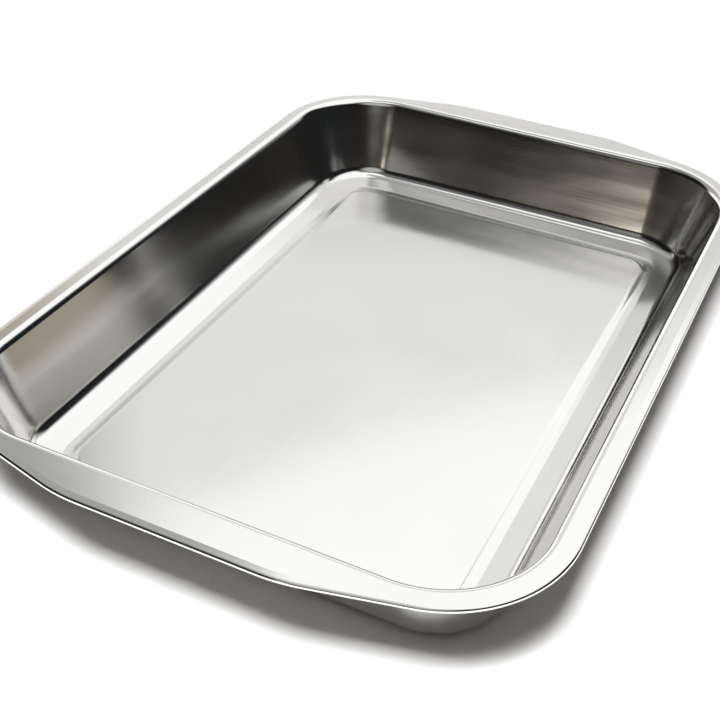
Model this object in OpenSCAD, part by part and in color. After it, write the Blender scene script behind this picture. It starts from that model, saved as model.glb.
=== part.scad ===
// Stainless steel developing tray, pressed from one sheet.
// The origin is at the middle of the footprint, on the surface that the tray rests on.
// X runs across the tray, Y along it from grip to grip, Z up.

/* [Tray] */
// Length over both grips
tray_length = 400; // [320:1:520]
// Width over the rim
tray_width = 275; // [230:1:360]
// Height from the resting surface to the top of the rim
tray_height = 46; // [36:1:70]
// Thickness of the sheet
sheet = 0.8; // [0.5:0.1:1]

/* [Rim] */
// Width of the rim along the sides, from its outer edge to where the sheet starts to bend down
rim_width = 7.5; // [6:0.5:12]
// Width of the two grips, measured in the same way
grip_width = 17; // [14:0.5:30]
// Length of a grip's straight edge, before its two corners are rounded
grip_length = 96; // [70:1:110]
// Radius of the two rounded corners of a grip
grip_rounding = 80; // [20:5:100]
// Corner radius of the flat rim's inner edge, seen from above
corner_radius = 49; // [44:1:60]
// Width of the edge strip that slopes down to the hem
edge_strip = 3.4; // [3:0.1:4]
// Slope of that strip in degrees
edge_slope = 7; // [0:1:12]
// Middle radius of the hem that is rolled under the edge
hem_radius = 0.75; // [0.6:0.05:1]

/* [Wall] */
// Lean of the walls away from vertical, in degrees
wall_lean = 20; // [14:1:26]
// Middle radius of the bend between the rim and the wall
mouth_bend = 4.1; // [2:0.1:6]
// Middle radius of the bend between the wall and the floor
base_bend = 8.4; // [4:0.1:10]

/* [Floor] */
// Slope of the channel round the floor, in degrees
channel_slope = 9; // [3:1:12]
// Length of the channel's straight slope
channel_run = 8.2; // [4:0.1:10]
// Width of the flat ring that the tray rests on
foot_width = 2; // [1:0.1:3]
// Height of the raised panel above that ring
panel_rise = 1; // [0.5:0.1:2]
// Width of the step up to the panel
step_run = 5; // [4:0.1:6]

/* [Hidden] */
$fn = 120;

// Degrees between the points that draw a bend in a section
bend_step = 15;
// Length of flat sheet that a swept section shares with the flat plate that it runs into
shared = 2;
// The slanted stretches of the edge are slimmer by this much all round, and run this far into the
// rounded stretches at their ends
slimmer = 0.01;
run_in = 0.5;

// Half sizes of the flat rim's inner edge, and the middle of its corner arcs
mouth = [tray_width / 2 - rim_width, tray_length / 2 - grip_width];
corner = mouth - [corner_radius, corner_radius];

// The step up to the panel is two equal arcs, one each way
step_turn = 2 * atan(panel_rise / step_run);
step_radius = step_run / (2 * sin(step_turn));

// The wall is as long as the tray's height leaves it after the bends and the channel
wall_turn = 90 - wall_lean;
bends_drop = (mouth_bend + base_bend) * (1 - cos(wall_turn));
channel_drop = channel_run * sin(channel_slope);
wall_run = (tray_height - sheet - bends_drop - channel_drop) / sin(wall_turn);

// Distance across the section from the flat rim's inner edge to the flat of the panel
panel_inset = (mouth_bend + base_bend) * sin(wall_turn) + wall_run * cos(wall_turn)
    + channel_run * cos(channel_slope) + foot_width + step_run;

// The strip at the rim's edge is as long as the bend before it and the hem leave it
strip_bend = 2 * hem_radius;
strip_run = (edge_strip - strip_bend * sin(edge_slope) - hem_radius * (1 - sin(edge_slope)) - sheet / 2)
    / cos(edge_slope);

// Point at an angle and a distance from a centre
function polar(centre, radius, angle) = centre + radius * [cos(angle), sin(angle)];

// The outer edge goes round a corner, leaves it along a slanted line, and turns into the grip's
// straight edge round a second arc. Both arcs touch the slanted line.
rim_radius = corner_radius + rim_width;
grip_corner = [grip_length / 2, tray_length / 2];
grip_offset = grip_corner - corner;
slant_normal = atan2(grip_offset.y, grip_offset.x) - acos(rim_radius / norm(grip_offset));
rounding_cut = grip_rounding * tan((90 - slant_normal) / 2);
rounding_centre = grip_corner - [rounding_cut, grip_rounding];
slant_start = polar(corner, rim_radius, slant_normal);
slant_end = polar(rounding_centre, grip_rounding, slant_normal);
slant_length = norm(slant_end - slant_start);

// Sections are paths of steps along the middle of the sheet. A step is [length, 0] where the sheet
// is straight, and [radius, turn] where it bends, to the left where the turn is positive.
pan_path = [
    [shared, 0],
    [mouth_bend, wall_turn],
    [wall_run, 0],
    [base_bend, channel_slope - wall_turn],
    [channel_run, 0],
    [base_bend, -channel_slope],
    [foot_width, 0],
    [step_radius, -step_turn],
    [step_radius, step_turn],
    [shared, 0],
];

// The path of the rim's edge strip and hem, which can be shorter at both of its ends
function edge_path(less) = [
    [shared - less, 0],
    [strip_bend, -edge_slope],
    [strip_run, 0],
    [hem_radius, edge_slope - 180],
    [hem_radius - less, 0],
];

// Points of the sheet's face that lies at an offset to the left of a path
function face(path, offset, at, heading, i = 0) =
    i == len(path) ? [polar(at, offset, heading + 90)] :
    let (
        size = path[i][0],
        turn = path[i][1],
        side = sign(turn),
        centre = polar(at, size, heading + 90 * side),
        count = ceil(abs(turn) / bend_step),
        from = heading - 90 * side
    )
    side == 0
        ? concat(
            [polar(at, offset, heading + 90)],
            face(path, offset, polar(at, size, heading), heading, i + 1))
        : concat(
            [for (k = [0:count - 1]) polar(centre, size - side * offset, from + turn * k / count)],
            face(path, offset, polar(centre, size, from + turn), heading + turn, i + 1));

function reversed(list) = [for (i = [len(list) - 1:-1:0]) list[i]];

// Section of a sheet along a path
module section(path, thickness, at, heading) {
    left = face(path, thickness / 2, at, heading);
    right = face(path, -thickness / 2, at, heading);
    polygon(concat(left, reversed(right)));
}

// From the flat rim's inner edge at x = 0, down the wall and across the channel to the panel
module pan_section() {
    section(pan_path, sheet, [shared, tray_height - sheet / 2], 180);
}

// From the rim's flat out to the hem, whose outside is at x = 0. It can be slimmer all round.
module edge_section(less = 0) {
    start = [less - shared - edge_strip, tray_height - sheet / 2];
    section(edge_path(less), sheet - 2 * less, start, 0);
}

// Sweeps a section round an arc, between two directions of its outward normal
module along_arc(centre, radius, from, to) {
    translate(centre) rotate(from)
        rotate_extrude(angle = to - from) translate([radius, 0]) children();
}

// Sweeps a section along the straight line that follows an arc's end, where the normal is the same.
// The line can start before that end and stop after its own by an equal length.
module along_line(centre, radius, normal, length, extra = 0) {
    translate(centre) rotate(normal) translate([radius, length + extra, 0])
        rotate([90, 0, 0]) linear_extrude(length + 2 * extra) children();
}

// One quarter of the wall and the channel
module pan_quarter() {
    along_line([corner.x, 0], corner_radius, 0, corner.y) pan_section();
    along_arc(corner, corner_radius, 0, 90) pan_section();
    along_line(corner, corner_radius, 90, corner.x) pan_section();
}

// One quarter of the rim's outer edge
module edge_quarter() {
    along_line([corner.x, 0], rim_radius, 0, corner.y) edge_section();
    along_arc(corner, rim_radius, 0, slant_normal) edge_section();
    along_line(corner, rim_radius, slant_normal, slant_length, run_in) edge_section(slimmer);
    along_arc(rounding_centre, grip_rounding, 90, slant_normal) edge_section();
    along_line(rounding_centre, grip_rounding, 90, rounding_centre.x) edge_section();
}

// One quarter of a rectangle with rounded corners, filled to the middle
module rounded_quarter(half, radius) {
    centre = half - [radius, radius];
    square([half.x, centre.y]);
    square([centre.x, half.y]);
    intersection() {
        translate(centre) circle(radius);
        translate(centre) square(radius);
    }
}

// One quarter of the rim's flat, filled to the middle. Its outline is made of chords that stay
// inside the flat sheet that it shares with the edge strip.
module flat_outline() {
    inset = edge_strip + shared / 2;
    steps = ceil(slant_normal / bend_step);
    polygon(concat(
        [[0, 0], [tray_width / 2 - inset, 0]],
        [for (k = [0.5:steps]) polar(corner, rim_radius - inset, slant_normal * k / steps)],
        [polar(rounding_centre, grip_rounding - inset, (slant_normal + 90) / 2)],
        [[0, tray_length / 2 - inset]]
    ));
}

// One quarter of the rim's flat
module rim_quarter() {
    hole = mouth + [shared, shared] / 2;
    translate([0, 0, tray_height - sheet]) linear_extrude(sheet) difference() {
        flat_outline();
        rounded_quarter(hole, corner_radius + shared / 2);
    }
}

// One quarter of the raised panel
module panel_quarter() {
    inset = panel_inset + shared / 2;
    translate([0, 0, panel_rise]) linear_extrude(sheet)
        rounded_quarter(mouth - [inset, inset], corner_radius - inset);
}

// The whole tray is one pressing, alike in all four quarters
module tray() {
    color("gainsboro")
        for (across = [0, 1], along = [0, 1])
            mirror([across, 0, 0]) mirror([0, along, 0]) {
                panel_quarter();
                pan_quarter();
                rim_quarter();
                edge_quarter();
            }
}

tray();
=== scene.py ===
"""Looks of the pressed stainless steel tray: one smooth sheet, on a pale floor in a soft studio."""

import math

import bpy
from mathutils import Matrix, Vector


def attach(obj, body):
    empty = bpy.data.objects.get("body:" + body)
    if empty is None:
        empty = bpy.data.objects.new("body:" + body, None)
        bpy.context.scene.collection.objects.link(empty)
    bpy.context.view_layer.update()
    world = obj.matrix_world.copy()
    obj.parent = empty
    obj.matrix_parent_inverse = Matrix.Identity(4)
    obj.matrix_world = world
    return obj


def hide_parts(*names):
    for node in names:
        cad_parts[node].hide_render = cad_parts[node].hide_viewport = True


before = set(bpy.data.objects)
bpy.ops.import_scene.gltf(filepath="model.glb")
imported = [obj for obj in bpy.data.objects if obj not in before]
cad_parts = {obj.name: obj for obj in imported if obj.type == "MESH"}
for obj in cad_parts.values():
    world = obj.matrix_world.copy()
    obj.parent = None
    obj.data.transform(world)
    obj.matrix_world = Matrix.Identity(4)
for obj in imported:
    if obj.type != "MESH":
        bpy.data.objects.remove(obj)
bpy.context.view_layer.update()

# ---------------------------------------------------------------------------
# The tray's dimensions, in millimetres, as in the CAD
# ---------------------------------------------------------------------------
MM = 0.001
TRAY_LENGTH = 400
TRAY_WIDTH = 275
TRAY_HEIGHT = 46
SHEET = 0.8
RIM_WIDTH = 7.5
GRIP_WIDTH = 17
GRIP_LENGTH = 96
GRIP_ROUNDING = 80
CORNER_RADIUS = 49
EDGE_STRIP = 3.4
EDGE_SLOPE = 7
HEM_RADIUS = 0.75
WALL_LEAN = 20
MOUTH_BEND = 4.1
BASE_BEND = 8.4
CHANNEL_SLOPE = 9
CHANNEL_RUN = 8.2
FOOT_WIDTH = 2
PANEL_RISE = 1
STEP_RUN = 5

MOUTH = Vector((TRAY_WIDTH / 2 - RIM_WIDTH, TRAY_LENGTH / 2 - GRIP_WIDTH))
CORNER = MOUTH - Vector((CORNER_RADIUS, CORNER_RADIUS))
RIM_RADIUS = CORNER_RADIUS + RIM_WIDTH
MID_SHEET_TOP = TRAY_HEIGHT - SHEET / 2

STEP_TURN = 2 * math.degrees(math.atan(PANEL_RISE / STEP_RUN))
STEP_RADIUS = STEP_RUN / (2 * math.sin(math.radians(STEP_TURN)))
WALL_TURN = 90 - WALL_LEAN
BENDS_DROP = (MOUTH_BEND + BASE_BEND) * (1 - math.cos(math.radians(WALL_TURN)))
CHANNEL_DROP = CHANNEL_RUN * math.sin(math.radians(CHANNEL_SLOPE))
WALL_RUN = (TRAY_HEIGHT - SHEET - BENDS_DROP - CHANNEL_DROP) / math.sin(math.radians(WALL_TURN))

STRIP_BEND = 2 * HEM_RADIUS
SLOPE_SINE = math.sin(math.radians(EDGE_SLOPE))
STRIP_RUN = (
    EDGE_STRIP - STRIP_BEND * SLOPE_SINE - HEM_RADIUS * (1 - SLOPE_SINE) - SHEET / 2
) / math.cos(math.radians(EDGE_SLOPE))

# Sections are paths along the middle of the sheet: (length, 0) where it is straight, and
# (radius, turn in degrees) where it bends, to the left where the turn is positive
EDGE_PATH = [
    (STRIP_BEND, -EDGE_SLOPE),
    (STRIP_RUN, 0),
    (HEM_RADIUS, EDGE_SLOPE - 180),
    (HEM_RADIUS, 0),
]
PAN_PATH = [
    (MOUTH_BEND, WALL_TURN),
    (WALL_RUN, 0),
    (BASE_BEND, CHANNEL_SLOPE - WALL_TURN),
    (CHANNEL_RUN, 0),
    (BASE_BEND, -CHANNEL_SLOPE),
    (FOOT_WIDTH, 0),
    (STEP_RADIUS, -STEP_TURN),
    (STEP_RADIUS, STEP_TURN),
]

# Most degrees between the points of a bend in the section and of a corner seen from above, and
# the most millimetres between the points of a straight side and of a grip
SECTION_STEP = 5
CORNER_STEP = 2.5
SIDE_STEP = 12
GRIP_STEP = 3
# Steps round the sheet's cut edge, inside the hem
CUT_EDGE_STEPS = 6


def polar(centre, radius, angle):
    """The point at a distance from a centre, at an angle in degrees."""
    turn = math.radians(angle)
    return centre + radius * Vector((math.cos(turn), math.sin(turn)))


# ---------------------------------------------------------------------------
# Sections: points of a sheet's face and the direction that it faces there
# ---------------------------------------------------------------------------
def face_of(path, at, heading, side):
    """One face of the sheet along a path, as (across, height, facing angle) triples, and the path's
    last point and heading. The side is 1 for the face to the left and -1 for the one to the right."""

    def on_face(middle, direction):
        facing = direction + 90 * side
        return (*polar(middle, SHEET / 2, facing), facing)

    points = [on_face(at, heading)]
    for size, turn in path:
        if turn == 0:
            at = polar(at, size, heading)
            points.append(on_face(at, heading))
            continue
        to_centre = math.copysign(90, turn)
        centre = polar(at, size, heading + to_centre)
        steps = math.ceil(abs(turn) / SECTION_STEP)
        for k in range(1, steps + 1):
            direction = heading + turn * k / steps
            points.append(on_face(polar(centre, size, direction - to_centre), direction))
        heading += turn
        at = polar(centre, size, heading - to_centre)
    return points, at, heading


def rounded_end(at, heading):
    """The sheet's cut edge at a path's end, rounded from its left face to its right."""
    angles = [heading + 90 - 180 * k / CUT_EDGE_STEPS for k in range(1, CUT_EDGE_STEPS)]
    return [(*polar(at, SHEET / 2, angle), angle) for angle in angles]


mouth_start = Vector((0, MID_SHEET_TOP))
edge_start = Vector((-EDGE_STRIP, MID_SHEET_TOP))
pan_inside, _, _ = face_of(PAN_PATH, mouth_start, 180, -1)
pan_outside, _, _ = face_of(PAN_PATH, mouth_start, 180, 1)
edge_top, hem_end, hem_heading = face_of(EDGE_PATH, edge_start, 0, 1)
edge_under, _, _ = face_of(EDGE_PATH, edge_start, 0, -1)


# ---------------------------------------------------------------------------
# Outlines seen from above: matching points of the mouth's and the rim's outline
# ---------------------------------------------------------------------------
def line(start, end, facing):
    """A straight piece of outline: its length, and its point and facing at a share of that."""
    return (end - start).length, lambda share: (start.lerp(end, share), facing)


def arc(centre, radius, start, end):
    """A round piece of outline, between two angles, in the same form."""

    def at(share):
        angle = start + (end - start) * share
        return polar(centre, radius, angle), angle

    return radius * math.radians(abs(end - start)), at


def joined(pieces):
    """Pieces of outline as one: its length, the fractions of it where they join, and its point and
    facing at a fraction."""
    lengths = [length for length, _ in pieces]
    total = sum(lengths)
    joins = [sum(lengths[:k]) / total for k in range(len(pieces) + 1)]

    def at(fraction):
        k = next(k for k in range(len(pieces)) if fraction <= joins[k + 1])
        _, at_share = pieces[k]
        return at_share((fraction - joins[k]) / (joins[k + 1] - joins[k]))

    return total, joins, at


def quarter_stations():
    """Points round a quarter of the tray, from the side's middle to the grip's middle, as
    (mouth point, its facing, rim edge point, its facing)."""
    grip_corner = Vector((GRIP_LENGTH / 2, TRAY_LENGTH / 2))
    offset = grip_corner - CORNER
    slant = math.degrees(math.atan2(offset.y, offset.x) - math.acos(RIM_RADIUS / offset.length))
    cut = GRIP_ROUNDING * math.tan(math.radians((90 - slant) / 2))
    rounding = grip_corner - Vector((cut, GRIP_ROUNDING))

    stations = []
    side_steps = math.ceil(CORNER.y / SIDE_STEP)
    for k in range(side_steps):
        y = CORNER.y * k / side_steps
        stations.append((Vector((MOUTH.x, y)), 0, Vector((TRAY_WIDTH / 2, y)), 0))
    corner_steps = math.ceil(slant / CORNER_STEP)
    for k in range(corner_steps):
        angle = slant * k / corner_steps
        inner = polar(CORNER, CORNER_RADIUS, angle)
        stations.append((inner, angle, polar(CORNER, RIM_RADIUS, angle), angle))

    # From here on the grip's outline leaves the corner's arc before the mouth's does
    _, mouth_joins, mouth_at = joined([
        arc(CORNER, CORNER_RADIUS, slant, 90),
        line(Vector((CORNER.x, MOUTH.y)), Vector((0, MOUTH.y)), 90),
    ])
    length, edge_joins, edge_at = joined([
        line(polar(CORNER, RIM_RADIUS, slant), polar(rounding, GRIP_ROUNDING, slant), slant),
        arc(rounding, GRIP_ROUNDING, slant, 90),
        line(Vector((rounding.x, TRAY_LENGTH / 2)), Vector((0, TRAY_LENGTH / 2)), 90),
    ])
    joins = sorted(set(mouth_joins + edge_joins))
    for start, end in zip(joins, joins[1:]):
        steps = math.ceil((end - start) * length / GRIP_STEP)
        for k in range(steps):
            fraction = start + (end - start) * k / steps
            stations.append((*mouth_at(fraction), *edge_at(fraction)))
    stations.append((*mouth_at(1), *edge_at(1)))
    return stations


def mirrored(station, across, along):
    """A station's image in the other quarters: mirrored in X, in Y, or in both."""
    inner, inner_facing, outer, outer_facing = station
    flip = Vector((-1 if across else 1, -1 if along else 1))

    def turned(facing):
        if across:
            facing = 180 - facing
        return -facing if along else facing

    return (inner * flip, turned(inner_facing), outer * flip, turned(outer_facing))


quarter = quarter_stations()
ring = (
    quarter
    + [mirrored(s, True, False) for s in quarter[-2::-1]]
    + [mirrored(s, True, True) for s in quarter[1:]]
    + [mirrored(s, False, True) for s in quarter[-2:0:-1]]
)


# ---------------------------------------------------------------------------
# The sheet: rings from the panel's middle out to the hem, and back underneath
# ---------------------------------------------------------------------------
def ring_points(section_point, on_edge):
    """A point of the section carried round the tray, along the rim's edge or the mouth, as
    (place, direction that the surface faces) pairs in metres."""
    across, height, facing = section_point
    tilt = math.radians(facing)
    points = []
    for inner, inner_facing, outer, outer_facing in ring:
        base, base_facing = (outer, outer_facing) if on_edge else (inner, inner_facing)
        spot = polar(base, across, base_facing)
        out = polar(Vector((0, 0)), math.cos(tilt), base_facing)
        points.append(((spot.x * MM, spot.y * MM, height * MM), (out.x, out.y, math.sin(tilt))))
    return points


def running_sums(values):
    return [sum(values[:k]) for k in range(len(values) + 1)]


def lay_out(mesh, verts, count):
    """Gives the mesh coordinates in metres on the sheet: round the tray and across it on the rings,
    and straight along and across it on the two flat panels."""
    spots = [Vector(spot) for spot in verts]
    loops = [spots[k:k + count] for k in range(0, len(spots), count)]
    widest = max(loops, key=lambda loop: loop[0].x)
    around = running_sums([(b - a).length for a, b in zip(widest, widest[1:] + widest[:1])])
    across = running_sums([(b[0] - a[0]).length for a, b in zip(loops, loops[1:])])

    layer = mesh.uv_layers.new(name="sheet")
    for polygon in mesh.polygons:
        is_panel = len(polygon.vertices) == count
        closes_rings = {vertex % count for vertex in polygon.vertices} == {0, count - 1}
        for corner, vertex in zip(polygon.loop_indices, polygon.vertices):
            row, column = divmod(vertex, count)
            if closes_rings and column == 0:
                column = count
            on_rings = (around[column], across[row])
            layer.data[corner].uv = (spots[vertex].y, spots[vertex].x) if is_panel else on_rings


def sheet_mesh(name):
    """The whole sheet as one closed surface, with exact normals."""
    rings = [ring_points(p, False) for p in reversed(pan_inside)]
    rings += [ring_points(p, True) for p in edge_top]
    rings += [ring_points(p, True) for p in rounded_end(hem_end, hem_heading)]
    rings += [ring_points(p, True) for p in reversed(edge_under)]
    rings += [ring_points(p, False) for p in pan_outside]

    count = len(ring)
    verts = [spot for loop in rings for spot, _ in loop]
    normals = [normal for loop in rings for _, normal in loop]
    faces = [tuple(range(count))]
    for k in range(len(rings) - 1):
        for i in range(count):
            j = (i + 1) % count
            faces.append((k * count + i, (k + 1) * count + i, (k + 1) * count + j, k * count + j))
    last = (len(rings) - 1) * count
    faces.append(tuple(last + i for i in reversed(range(count))))

    mesh = bpy.data.meshes.new(name)
    mesh.from_pydata(verts, [], faces)
    mesh.update()
    lay_out(mesh, verts, count)
    for polygon in mesh.polygons:
        polygon.use_smooth = True
    mesh.normals_split_custom_set_from_vertices(normals)
    return mesh


# ---------------------------------------------------------------------------
# Shader nodes
# ---------------------------------------------------------------------------
def node(tree, kind, inputs=None, **settings):
    """A new node, with each input linked to the socket or set to the value that is given for it."""
    made = tree.nodes.new(kind)
    for key, value in settings.items():
        setattr(made, key, value)
    for key, value in (inputs or {}).items():
        if isinstance(value, bpy.types.NodeSocket):
            tree.links.new(value, made.inputs[key])
        else:
            made.inputs[key].default_value = value
    return made


def calculated(tree, operation, *values):
    return node(tree, "ShaderNodeMath", dict(enumerate(values)), operation=operation).outputs[0]


def smooth(tree, value, start, end):
    """0 where the value is at the start, 1 where it is at the end, and a smooth step between. The
    start can be the larger of the two."""
    return node(
        tree, "ShaderNodeMapRange", {"Value": value, "From Min": start, "From Max": end},
        interpolation_type="SMOOTHSTEP",
    ).outputs[0]


def ranged(tree, value, old, new):
    """A value carried in proportion from an old range to a new one."""
    return node(tree, "ShaderNodeMapRange", {
        "Value": value, "From Min": old[0], "From Max": old[1], "To Min": new[0], "To Max": new[1],
    }).outputs[0]


def noise(tree, place, scale, detail):
    return node(tree, "ShaderNodeTexNoise", {"Vector": place, "Scale": scale, "Detail": detail}).outputs[0]


def noise_lines(tree, sheet, around, across, detail):
    """Noise that is drawn out round the tray, with a number of waves in a metre each way."""
    place = node(tree, "ShaderNodeMapping", {"Vector": sheet, "Scale": (around, across, 1)}).outputs[0]
    return noise(tree, place, 1, detail)


def bump(tree, height, strength, depth, under=None):
    """A normal that follows a height, by a depth in metres, on top of another normal."""
    inputs = {"Height": height, "Strength": strength, "Distance": depth}
    if under is not None:
        inputs["Normal"] = under
    return node(tree, "ShaderNodeBump", inputs).outputs[0]


def layered(tree, base, layers):
    """A colour with others laid over it in turn, each by its share. Each colour is a socket or
    (red, green, blue)."""

    def whole(colour):
        return colour if isinstance(colour, bpy.types.NodeSocket) else (*colour, 1)

    result = whole(base)
    for share, over in layers:
        inputs = {0: share, 6: result, 7: whole(over)}
        result = node(tree, "ShaderNodeMix", inputs, data_type="RGBA").outputs[2]
    return result


# ---------------------------------------------------------------------------
# Semi-polished stainless steel
# ---------------------------------------------------------------------------
# Roughness of the panel and the rim, of the duller drawn walls, and what the worn patches add
PANEL_ROUGHNESS = 0.09
WALL_ROUGHNESS = 0.12
WORN_ROUGHNESS = 0.06
# Colour where the steel is worn least and most, and the noise levels that those stand for
WORN_LEAST = (0.68, 0.67, 0.648, 1)
WORN_MOST = (0.72, 0.71, 0.69, 1)
WORN_LEVELS = (0.3, 0.7)
# How much of the wear follows the polishing lines and not the clouds
LINED_WEAR = 0.25
# Heights in metres where the wall's own finish begins and is full, at its foot and at its head
WALL_FOOT = (0.004, 0.010)
WALL_HEAD = (0.044, 0.040)
# How strongly the wall ripples
RIPPLE_STRENGTH = 0.5


def steel():
    material = bpy.data.materials.new("stainless_steel")
    material.use_nodes = True
    tree = material.node_tree
    shader = tree.nodes["Principled BSDF"]
    shader.inputs["Metallic"].default_value = 1
    place = node(tree, "ShaderNodeTexCoord").outputs["Object"]
    sheet = node(tree, "ShaderNodeUVMap", uv_map="sheet").outputs[0]

    # Polishing lines run along the panel and round the tray elsewhere. The clouds are patches that
    # the polish and the rinsing water left duller.
    lines = noise_lines(tree, sheet, around=14, across=900, detail=4)
    clouds = noise(tree, place, scale=18, detail=5)
    worn = node(tree, "ShaderNodeMix", {0: LINED_WEAR, 2: clouds, 3: lines}).outputs[0]

    height = node(tree, "ShaderNodeSeparateXYZ", {"Vector": place}).outputs["Z"]
    wall = calculated(tree, "MULTIPLY", smooth(tree, height, *WALL_FOOT), smooth(tree, height, *WALL_HEAD))
    polish = ranged(tree, wall, (0, 1), (PANEL_ROUGHNESS, WALL_ROUGHNESS))
    wear = ranged(tree, worn, WORN_LEVELS, (0, WORN_ROUGHNESS))
    tree.links.new(calculated(tree, "ADD", polish, wear), shader.inputs["Roughness"])

    tint = node(tree, "ShaderNodeValToRGB", {"Fac": worn})
    for stop, level, colour in zip(tint.color_ramp.elements, WORN_LEVELS, (WORN_LEAST, WORN_MOST)):
        stop.position = level
        stop.color = colour
    tree.links.new(tint.outputs[0], shader.inputs["Base Color"])

    # The sheet is never quite flat, the drawn walls have long shallow ripples, and the polishing
    # lines stand out a little
    wavy = bump(tree, noise(tree, place, scale=14, detail=1), strength=0.25, depth=0.0006)
    ripples = noise_lines(tree, sheet, around=10, across=55, detail=1)
    on_wall = calculated(tree, "MULTIPLY", wall, RIPPLE_STRENGTH)
    rippled = bump(tree, ripples, strength=on_wall, depth=0.0005, under=wavy)
    fine = bump(tree, lines, strength=0.3, depth=0.00003, under=rippled)
    tree.links.new(fine, shader.inputs["Normal"])
    return material


tray = bpy.data.objects.new("tray_sheet", sheet_mesh("tray_sheet"))
bpy.context.scene.collection.objects.link(tray)
tray.data.materials.append(steel())
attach(tray, "root")
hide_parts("tray")


# ---------------------------------------------------------------------------
# Floor, light and camera
# ---------------------------------------------------------------------------
def pale_floor(side, shade):
    half = side / 2
    mesh = bpy.data.meshes.new("floor")
    mesh.from_pydata(
        [(-half, -half, 0), (half, -half, 0), (half, half, 0), (-half, half, 0)], [], [(0, 1, 2, 3)]
    )
    floor = bpy.data.objects.new("floor", mesh)
    bpy.context.scene.collection.objects.link(floor)
    material = bpy.data.materials.new("pale_floor")
    material.use_nodes = True
    shader = material.node_tree.nodes["Principled BSDF"]
    shader.inputs["Base Color"].default_value = (shade, shade, shade, 1)
    shader.inputs["Roughness"].default_value = 1
    shader.inputs["Specular IOR Level"].default_value = 0
    mesh.materials.append(material)


def towards(azimuth, elevation):
    """A direction, from degrees clockwise from +Y seen from above, and degrees above the floor."""
    azimuth, elevation = math.radians(azimuth), math.radians(elevation)
    level = math.cos(elevation)
    return math.sin(azimuth) * level, math.cos(azimuth) * level, math.sin(elevation)


def along(tree, direction, azimuth, elevation):
    """How far a direction points towards another one, from -1 to 1."""
    return node(
        tree, "ShaderNodeVectorMath", {0: direction, 1: towards(azimuth, elevation)},
        operation="DOT_PRODUCT",
    ).outputs["Value"]


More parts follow.
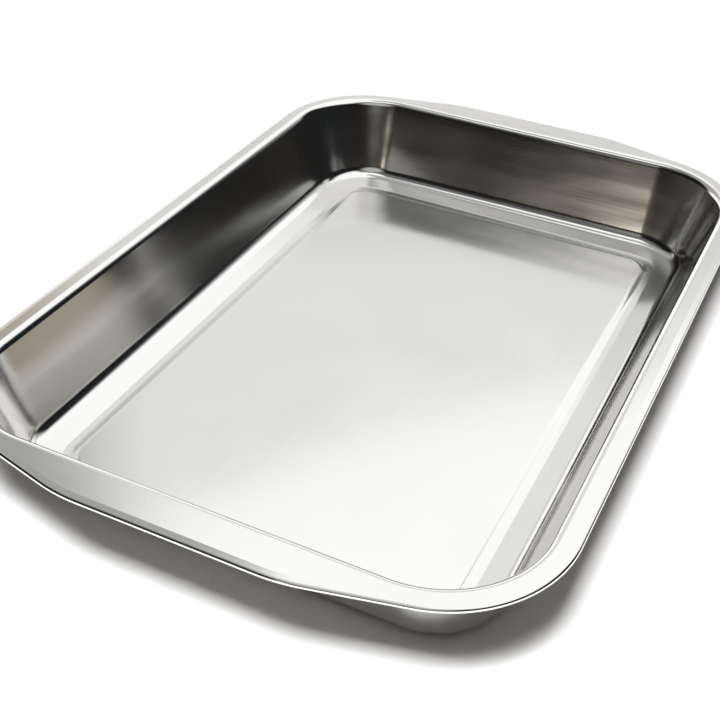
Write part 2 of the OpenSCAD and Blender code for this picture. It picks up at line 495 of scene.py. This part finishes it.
def studio():
    """What the steel mirrors: a dark room with a large soft screen behind the tray, over a white
    sweep. The floor is lit by an even dome instead, and the background is white. Angles are in
    degrees, and colours are strengths of red, green and blue."""
    world = bpy.data.worlds.new("studio")
    bpy.context.scene.world = world
    world.use_nodes = True
    world.cycles.sampling_method = "NONE"
    tree = world.node_tree
    direction = node(tree, "ShaderNodeTexCoord").outputs["Generated"]
    parts = node(tree, "ShaderNodeSeparateXYZ", {"Vector": direction}).outputs
    elevation = calculated(tree, "DEGREES", calculated(tree, "ARCSINE", parts["Z"]))
    azimuth = calculated(tree, "DEGREES", calculated(tree, "ARCTAN2", parts["X"], parts["Y"]))

    def spot(azimuth, elevation, bright, faded):
        """1 as near to a direction as the angle bright, and 0 beyond the angle faded."""
        nearness = along(tree, direction, azimuth, elevation)
        return smooth(tree, nearness, math.cos(math.radians(faded)), math.cos(math.radians(bright)))

    # The room in front is nearly black, with a dim warm strip low down, a small warm lamp, a grey
    # upper part, a soft light for the views from behind, and daylight from straight above
    low_strip = smooth(tree, elevation, 12, 9.5)
    warm_lamp = spot(-172, 7, bright=0, faded=5)
    upper_part = smooth(tree, elevation, 40, 55)
    back_light = spot(168, 38, bright=10, faded=26)
    daylight = smooth(tree, elevation, 65, 71)
    room = layered(tree, (0.012, 0.011, 0.01), [
        (low_strip, (0.07, 0.06, 0.05)),
        (warm_lamp, (3.0, 2.75, 2.4)),
        (upper_part, (0.18, 0.19, 0.19)),
        (back_light, (0.6, 0.6, 0.6)),
        (daylight, (1.7, 1.72, 1.74)),
    ])

    # Behind the tray are the white sweep, the wall over it, the screen, and the screen's brighter
    # upper part, whose lower edge rises to the left. To the left of the screen the wall is dimmer,
    # and warm low down. Low down on the right it is dark.
    wall = smooth(tree, elevation, 21, 24)
    screen = smooth(tree, elevation, 28, 32)
    from_edge = calculated(tree, "DEGREES", calculated(tree, "ARCSINE", along(tree, direction, 65, 75)))
    bright_part = smooth(tree, from_edge, 37.5, 39.5)
    left = smooth(tree, azimuth, -38, -46)
    left_wall = calculated(tree, "MULTIPLY", left, smooth(tree, elevation, 21, 25))
    left_colour = layered(tree, (0.56, 0.49, 0.39), [
        (smooth(tree, elevation, 31, 37), (0.50, 0.51, 0.51)),
    ])
    right = smooth(tree, azimuth, 20, 42)
    right_low = calculated(tree, "MULTIPLY", right, smooth(tree, elevation, 56, 42))
    back = layered(tree, (1.4, 1.4, 1.4), [
        (wall, (0.86, 0.86, 0.86)),
        (screen, (1.05, 1.06, 1.07)),
        (bright_part, (1.38, 1.4, 1.42)),
        (left_wall, left_colour),
        (right_low, (0.014, 0.016, 0.017)),
    ])

    behind = smooth(tree, along(tree, direction, 20, 0), -0.3, -0.05)
    rays = node(tree, "ShaderNodeLightPath").outputs
    light = layered(tree, room, [
        (behind, back),
        (rays["Is Diffuse Ray"], (0.19, 0.172, 0.165)),
        (rays["Is Camera Ray"], (1.1, 1.1, 1.1)),
    ])
    tree.links.new(light, tree.nodes["Background"].inputs["Color"])


def lamp(name, place, aim, side, power):
    """A square lamp that the steel doesn't mirror."""
    light = bpy.data.lights.new(name, "AREA")
    light.size = side
    light.energy = power
    holder = bpy.data.objects.new(name, light)
    bpy.context.scene.collection.objects.link(holder)
    holder.location = place
    holder.rotation_euler = (Vector(aim) - Vector(place)).to_track_quat("-Z", "Y").to_euler()
    holder.visible_glossy = False


def camera(place, azimuth, elevation, roll, lens, shift):
    """A camera at a place in metres, turned by angles in degrees."""
    data = bpy.data.cameras.new("camera")
    data.lens = lens
    data.shift_x, data.shift_y = shift
    holder = bpy.data.objects.new("camera", data)
    bpy.context.scene.collection.objects.link(holder)
    holder.matrix_world = (
        Matrix.Translation(place)
        @ Matrix.Rotation(math.radians(azimuth), 4, "Z")
        @ Matrix.Rotation(math.radians(90 - elevation), 4, "X")
        @ Matrix.Rotation(math.radians(roll), 4, "Z")
    )
    bpy.context.scene.camera = holder


pale_floor(side=1, shade=0.5)
studio()
lamp("overhead", place=(0.10, -0.76, 1.9), aim=(0, 0, 0), side=0.6, power=135)
camera(
    place=(0.1955, -0.4473, 0.3531), azimuth=25.04, elevation=35.53, roll=1.95,
    lens=59.44, shift=(-0.0116, -0.0240),
)
bpy.context.scene.view_settings.view_transform = "Standard"

bpy.context.view_layer.update()
